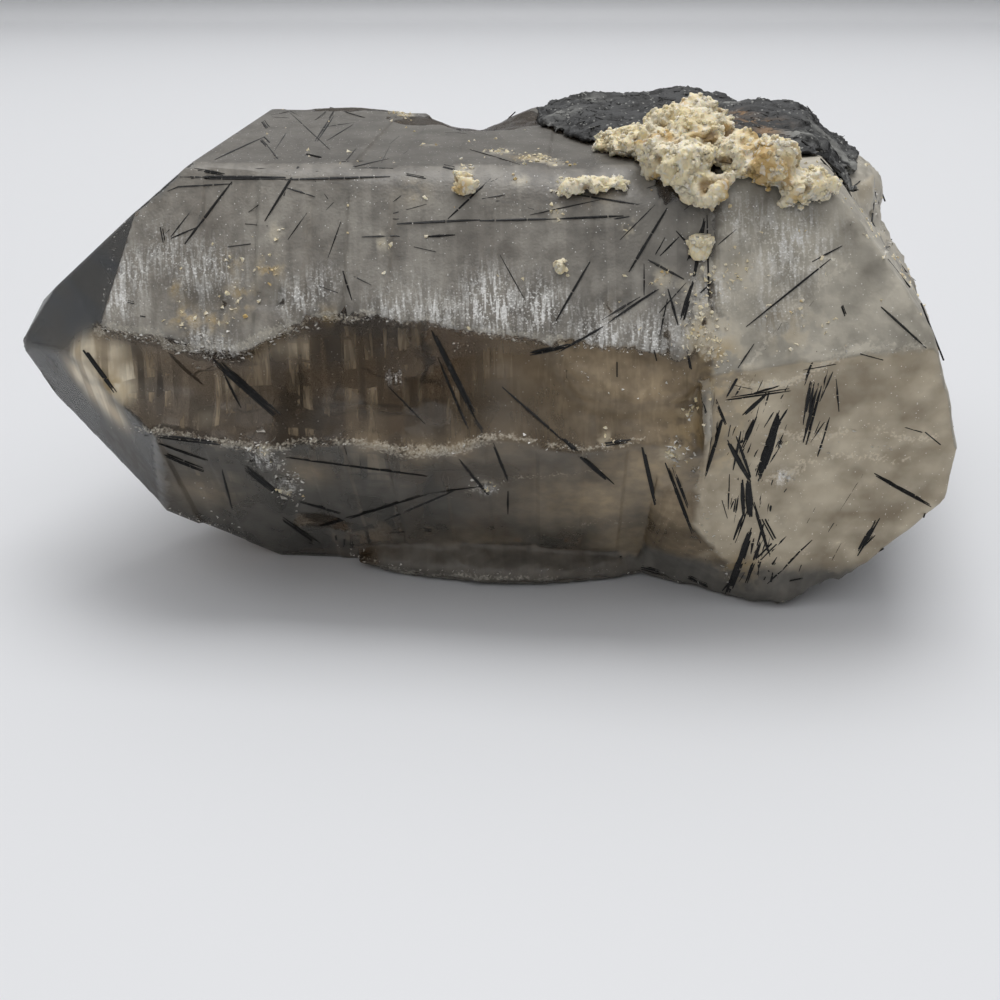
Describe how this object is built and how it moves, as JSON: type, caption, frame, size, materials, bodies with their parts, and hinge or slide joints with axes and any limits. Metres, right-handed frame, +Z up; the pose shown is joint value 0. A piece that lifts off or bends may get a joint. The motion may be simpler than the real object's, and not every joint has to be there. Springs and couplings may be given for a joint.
{
  "type": "tourmalinated quartz point",
  "caption": "Smoky quartz crystal point lying on a prism face, with a broken blunt end, black tourmaline needles and mat, and cream feldspar crust.",
  "frame": {"origin": "centre of the footprint box, on the surface that the crystal lies on", "axes": "-X towards the crystal's tip, -Y towards the side the picture shows, +Z up"},
  "size_m": [0.151, 0.089, 0.0696],
  "materials": {
    "smoky_quartz": "clear smoky, satin on the growth faces",
    "black_tourmaline": "glossy black",
    "feldspar": "sugary matte"
  },
  "bodies": {
    "root": {"quartz_crystal": "smoky_quartz", "tourmaline_mat": "black_tourmaline", "feldspar_crust": "feldspar", "feldspar_strip": "feldspar", "feldspar_bit_1": "feldspar", "feldspar_bit_2": "feldspar", "feldspar_bit_3": "feldspar", "tourmaline_needle_1": "black_tourmaline", "tourmaline_needle_2": "black_tourmaline", "tourmaline_needle_3": "black_tourmaline", "tourmaline_needle_4": "black_tourmaline"}
  },
  "joints": []
}
